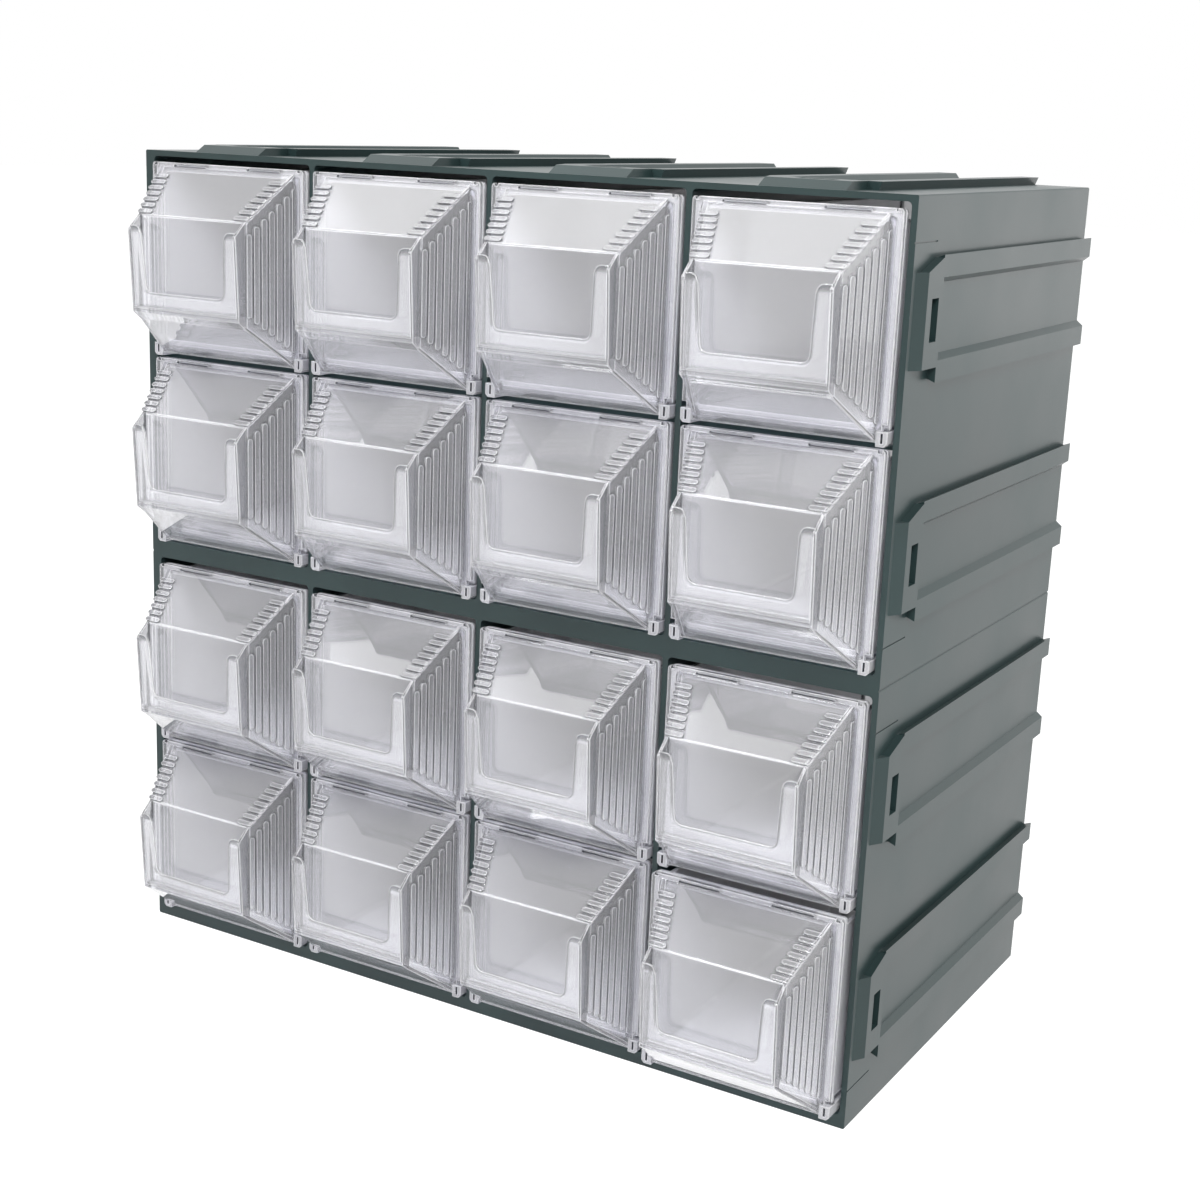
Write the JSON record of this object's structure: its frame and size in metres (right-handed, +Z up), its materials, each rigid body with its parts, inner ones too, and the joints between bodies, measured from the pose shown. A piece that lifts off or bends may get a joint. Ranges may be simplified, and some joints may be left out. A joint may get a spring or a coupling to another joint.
{
  "type": "parts bin cabinet",
  "caption": "Stacked, dovetailed plastic frames with clear pull-out bins that have sloping hopper fronts, grip ribs and label holders.",
  "frame": {"origin": "centre of the lower frame's underside, on the surface that the cabinet stands on", "axes": "+Z up, +X to the right and +Y to the back as seen from the front; the bins pull out along -Y"},
  "size_m": [0.3026, 0.1952, 0.3026],
  "materials": {
    "frame_plastic": "moulded, satin",
    "clear_plastic": "clear, moulded and polished"
  },
  "bodies": {
    "cabinet": {"lower_frame": "frame_plastic", "upper_frame": "frame_plastic"},
    "bin_r1c1": {"tray_r1c1": "clear_plastic", "front_r1c1": "clear_plastic"},
    "bin_r1c2": {"tray_r1c2": "clear_plastic", "front_r1c2": "clear_plastic"},
    "bin_r1c3": {"tray_r1c3": "clear_plastic", "front_r1c3": "clear_plastic"},
    "bin_r1c4": {"tray_r1c4": "clear_plastic", "front_r1c4": "clear_plastic"},
    "bin_r2c1": {"tray_r2c1": "clear_plastic", "front_r2c1": "clear_plastic"},
    "bin_r2c2": {"tray_r2c2": "clear_plastic", "front_r2c2": "clear_plastic"},
    "bin_r2c3": {"tray_r2c3": "clear_plastic", "front_r2c3": "clear_plastic"},
    "bin_r2c4": {"tray_r2c4": "clear_plastic", "front_r2c4": "clear_plastic"},
    "bin_r3c1": {"tray_r3c1": "clear_plastic", "front_r3c1": "clear_plastic"},
    "bin_r3c2": {"tray_r3c2": "clear_plastic", "front_r3c2": "clear_plastic"},
    "bin_r3c3": {"tray_r3c3": "clear_plastic", "front_r3c3": "clear_plastic"},
    "bin_r3c4": {"tray_r3c4": "clear_plastic", "front_r3c4": "clear_plastic"},
    "bin_r4c1": {"tray_r4c1": "clear_plastic", "front_r4c1": "clear_plastic"},
    "bin_r4c2": {"tray_r4c2": "clear_plastic", "front_r4c2": "clear_plastic"},
    "bin_r4c3": {"tray_r4c3": "clear_plastic", "front_r4c3": "clear_plastic"},
    "bin_r4c4": {"tray_r4c4": "clear_plastic", "front_r4c4": "clear_plastic"}
  },
  "joints": [
    {"name": "bin_r1c1_slide", "type": "slide", "parent": "cabinet", "child": "bin_r1c1", "axis": [0, -1, 0], "range_m": [0, 0.163]},
    {"name": "bin_r1c2_slide", "type": "slide", "parent": "cabinet", "child": "bin_r1c2", "axis": [0, -1, 0], "range_m": [0, 0.163]},
    {"name": "bin_r1c3_slide", "type": "slide", "parent": "cabinet", "child": "bin_r1c3", "axis": [0, -1, 0], "range_m": [0, 0.163]},
    {"name": "bin_r1c4_slide", "type": "slide", "parent": "cabinet", "child": "bin_r1c4", "axis": [0, -1, 0], "range_m": [0, 0.163]},
    {"name": "bin_r2c1_slide", "type": "slide", "parent": "cabinet", "child": "bin_r2c1", "axis": [0, -1, 0], "range_m": [0, 0.163]},
    {"name": "bin_r2c2_slide", "type": "slide", "parent": "cabinet", "child": "bin_r2c2", "axis": [0, -1, 0], "range_m": [0, 0.163]},
    {"name": "bin_r2c3_slide", "type": "slide", "parent": "cabinet", "child": "bin_r2c3", "axis": [0, -1, 0], "range_m": [0, 0.163]},
    {"name": "bin_r2c4_slide", "type": "slide", "parent": "cabinet", "child": "bin_r2c4", "axis": [0, -1, 0], "range_m": [0, 0.163]},
    {"name": "bin_r3c1_slide", "type": "slide", "parent": "cabinet", "child": "bin_r3c1", "axis": [0, -1, 0], "range_m": [0, 0.163]},
    {"name": "bin_r3c2_slide", "type": "slide", "parent": "cabinet", "child": "bin_r3c2", "axis": [0, -1, 0], "range_m": [0, 0.163]},
    {"name": "bin_r3c3_slide", "type": "slide", "parent": "cabinet", "child": "bin_r3c3", "axis": [0, -1, 0], "range_m": [0, 0.163]},
    {"name": "bin_r3c4_slide", "type": "slide", "parent": "cabinet", "child": "bin_r3c4", "axis": [0, -1, 0], "range_m": [0, 0.163]},
    {"name": "bin_r4c1_slide", "type": "slide", "parent": "cabinet", "child": "bin_r4c1", "axis": [0, -1, 0], "range_m": [0, 0.163]},
    {"name": "bin_r4c2_slide", "type": "slide", "parent": "cabinet", "child": "bin_r4c2", "axis": [0, -1, 0], "range_m": [0, 0.163]},
    {"name": "bin_r4c3_slide", "type": "slide", "parent": "cabinet", "child": "bin_r4c3", "axis": [0, -1, 0], "range_m": [0, 0.163]},
    {"name": "bin_r4c4_slide", "type": "slide", "parent": "cabinet", "child": "bin_r4c4", "axis": [0, -1, 0], "range_m": [-0.004, 0.159]}
  ]
}
